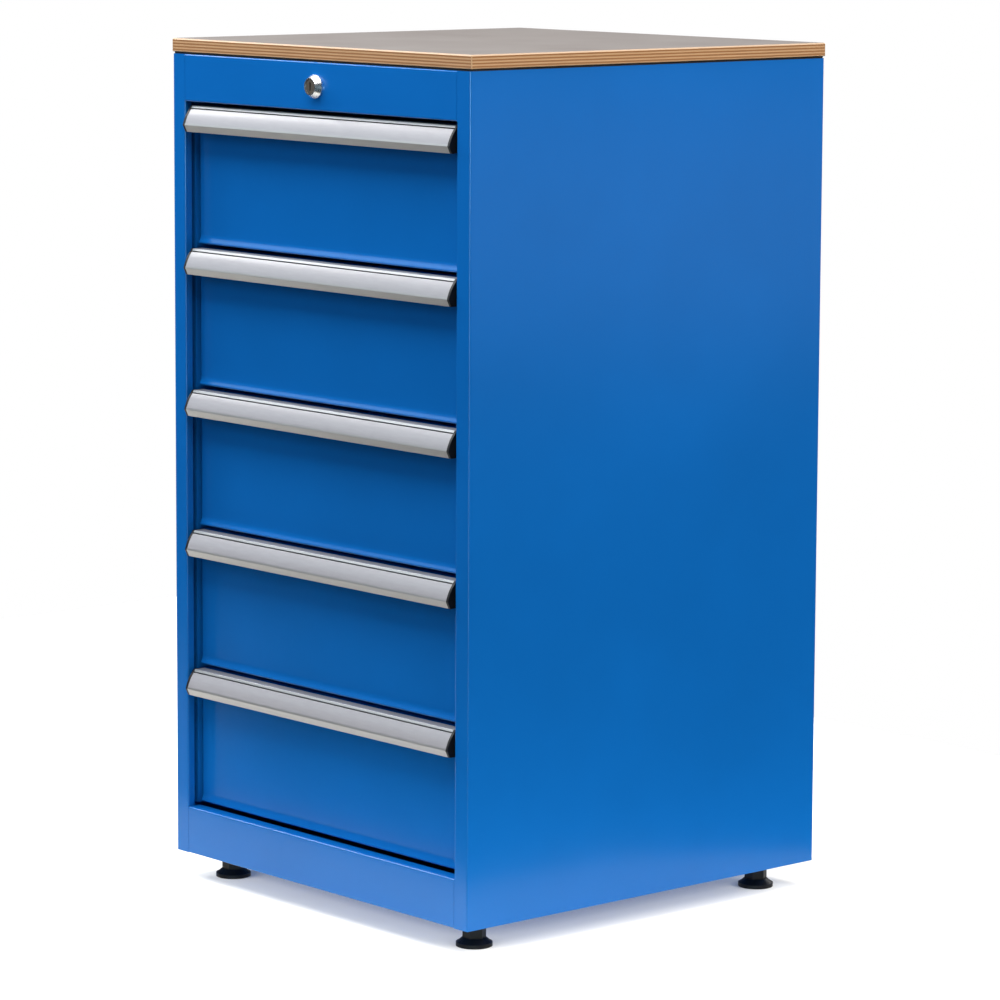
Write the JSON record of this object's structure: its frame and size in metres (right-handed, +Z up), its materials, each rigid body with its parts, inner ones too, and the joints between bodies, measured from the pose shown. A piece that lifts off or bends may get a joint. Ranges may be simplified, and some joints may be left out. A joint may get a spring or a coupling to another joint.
{
  "type": "drawer tool cabinet",
  "caption": "Free-standing sheet-steel tool cabinet with full-width drawers on telescopic slides, grip handles, a central lock, plywood worktop and levelling feet.",
  "frame": {"origin": "on the floor under the middle of the outline", "axes": "+Z up, -Y out of the drawer fronts, +X to the right of someone facing the back"},
  "size_m": [0.4782, 0.493, 0.894],
  "materials": {
    "blue_paint": "satin fine-texture powder coat",
    "plywood": "film-faced plywood with bare chamfered edges",
    "handle_aluminium": "satin anodised",
    "label_clear": "glossy label strip",
    "black_plastic": "moulded, slightly glossy",
    "zinc_steel": "zinc plated",
    "chrome": "polished",
    "lock_brass": "nickel plated, worn"
  },
  "bodies": {
    "cabinet": {"side_panel_left": "blue_paint", "side_panel_right": "blue_paint", "back_panel": "blue_paint", "base_panel": "blue_paint", "top_panel": "blue_paint", "top_rail": "blue_paint", "bottom_rail": "blue_paint", "uprights_front": "blue_paint", "uprights_rear": "blue_paint", "slide_channels": "zinc_steel", "worktop": "plywood", "lock_housing": "chrome", "lock_nut": "zinc_steel", "lock_bracket": "zinc_steel", "lock_bar_guides": "black_plastic", "foot_nuts": "zinc_steel"},
    "lock_cylinder": {"lock_plug": "lock_brass", "lock_shaft": "zinc_steel"},
    "locking_bar": {"lock_bar": "zinc_steel"},
    "drawer_1": {"drawer_1_tray": "blue_paint", "drawer_1_front": "blue_paint", "drawer_1_handle": "handle_aluminium", "drawer_1_label": "label_clear", "drawer_1_handle_caps": "black_plastic", "drawer_1_slide_runners": "zinc_steel"},
    "drawer_1_slides": {"drawer_1_slide_middles": "zinc_steel"},
    "drawer_2": {"drawer_2_tray": "blue_paint", "drawer_2_front": "blue_paint", "drawer_2_handle": "handle_aluminium", "drawer_2_label": "label_clear", "drawer_2_handle_caps": "black_plastic", "drawer_2_slide_runners": "zinc_steel"},
    "drawer_2_slides": {"drawer_2_slide_middles": "zinc_steel"},
    "drawer_3": {"drawer_3_tray": "blue_paint", "drawer_3_front": "blue_paint", "drawer_3_handle": "handle_aluminium", "drawer_3_label": "label_clear", "drawer_3_handle_caps": "black_plastic", "drawer_3_slide_runners": "zinc_steel"},
    "drawer_3_slides": {"drawer_3_slide_middles": "zinc_steel"},
    "drawer_4": {"drawer_4_tray": "blue_paint", "drawer_4_front": "blue_paint", "drawer_4_handle": "handle_aluminium", "drawer_4_label": "label_clear", "drawer_4_handle_caps": "black_plastic", "drawer_4_slide_runners": "zinc_steel"},
    "drawer_4_slides": {"drawer_4_slide_middles": "zinc_steel"},
    "drawer_5": {"drawer_5_tray": "blue_paint", "drawer_5_front": "blue_paint", "drawer_5_handle": "handle_aluminium", "drawer_5_label": "label_clear", "drawer_5_handle_caps": "black_plastic", "drawer_5_slide_runners": "zinc_steel"},
    "drawer_5_slides": {"drawer_5_slide_middles": "zinc_steel"},
    "foot_front_left_screw": {"foot_front_left": "black_plastic"},
    "foot_front_right_screw": {"foot_front_right": "black_plastic"},
    "foot_rear_left_screw": {"foot_rear_left": "black_plastic"},
    "foot_rear_right_screw": {"foot_rear_right": "black_plastic"}
  },
  "joints": [
    {"name": "drawer_1_pull", "type": "slide", "parent": "cabinet", "child": "drawer_1", "axis": [0, -1, 0], "range_m": [0, 0.39]},
    {"name": "drawer_1_slide_extend", "type": "slide", "parent": "cabinet", "child": "drawer_1_slides", "axis": [0, -1, 0], "range_m": [0, 0.195]},
    {"name": "drawer_2_pull", "type": "slide", "parent": "cabinet", "child": "drawer_2", "axis": [0, -1, 0], "range_m": [0, 0.39]},
    {"name": "drawer_2_slide_extend", "type": "slide", "parent": "cabinet", "child": "drawer_2_slides", "axis": [0, -1, 0], "range_m": [0, 0.195]},
    {"name": "drawer_3_pull", "type": "slide", "parent": "cabinet", "child": "drawer_3", "axis": [0, -1, 0], "range_m": [0, 0.39]},
    {"name": "drawer_3_slide_extend", "type": "slide", "parent": "cabinet", "child": "drawer_3_slides", "axis": [0, -1, 0], "range_m": [0, 0.195]},
    {"name": "drawer_4_pull", "type": "slide", "parent": "cabinet", "child": "drawer_4", "axis": [0, -1, 0], "range_m": [0, 0.39]},
    {"name": "drawer_4_slide_extend", "type": "slide", "parent": "cabinet", "child": "drawer_4_slides", "axis": [0, -1, 0], "range_m": [0, 0.195]},
    {"name": "drawer_5_pull", "type": "slide", "parent": "cabinet", "child": "drawer_5", "axis": [0, -1, 0], "range_m": [0, 0.39]},
    {"name": "drawer_5_slide_extend", "type": "slide", "parent": "cabinet", "child": "drawer_5_slides", "axis": [0, -1, 0], "range_m": [0, 0.195]},
    {"name": "lock_bar_lift", "type": "slide", "parent": "cabinet", "child": "locking_bar", "axis": [0, 0, 1], "range_m": [0, 0.01273]},
    {"name": "lock_turn", "type": "hinge", "parent": "cabinet", "child": "lock_cylinder", "pos_m": [0, -0.2385, 0.8535], "axis": [0, 1, 0], "range_deg": [0, 90]},
    {"name": "foot_front_left_turn", "type": "hinge", "parent": "cabinet", "child": "foot_front_left_screw", "pos_m": [-0.197, -0.194, 0.028], "axis": [0, 0, 1], "continuous": true},
    {"name": "foot_front_right_turn", "type": "hinge", "parent": "cabinet", "child": "foot_front_right_screw", "pos_m": [0.197, -0.194, 0.028], "axis": [0, 0, 1], "continuous": true},
    {"name": "foot_rear_left_turn", "type": "hinge", "parent": "cabinet", "child": "foot_rear_left_screw", "pos_m": [-0.197, 0.202, 0.028], "axis": [0, 0, 1], "continuous": true},
    {"name": "foot_rear_right_turn", "type": "hinge", "parent": "cabinet", "child": "foot_rear_right_screw", "pos_m": [0.197, 0.202, 0.028], "axis": [0, 0, 1], "continuous": true}
  ],
  "couplings": [
    {"joint": "drawer_1_slide_extend", "follows": "drawer_1_pull", "ratio": 0.5},
    {"joint": "drawer_2_slide_extend", "follows": "drawer_2_pull", "ratio": 0.5},
    {"joint": "drawer_3_slide_extend", "follows": "drawer_3_pull", "ratio": 0.5},
    {"joint": "drawer_4_slide_extend", "follows": "drawer_4_pull", "ratio": 0.5},
    {"joint": "drawer_5_slide_extend", "follows": "drawer_5_pull", "ratio": 0.5},
    {"joint": "lock_turn", "follows": "lock_bar_lift", "rad_per_m": 123.41}
  ]
}
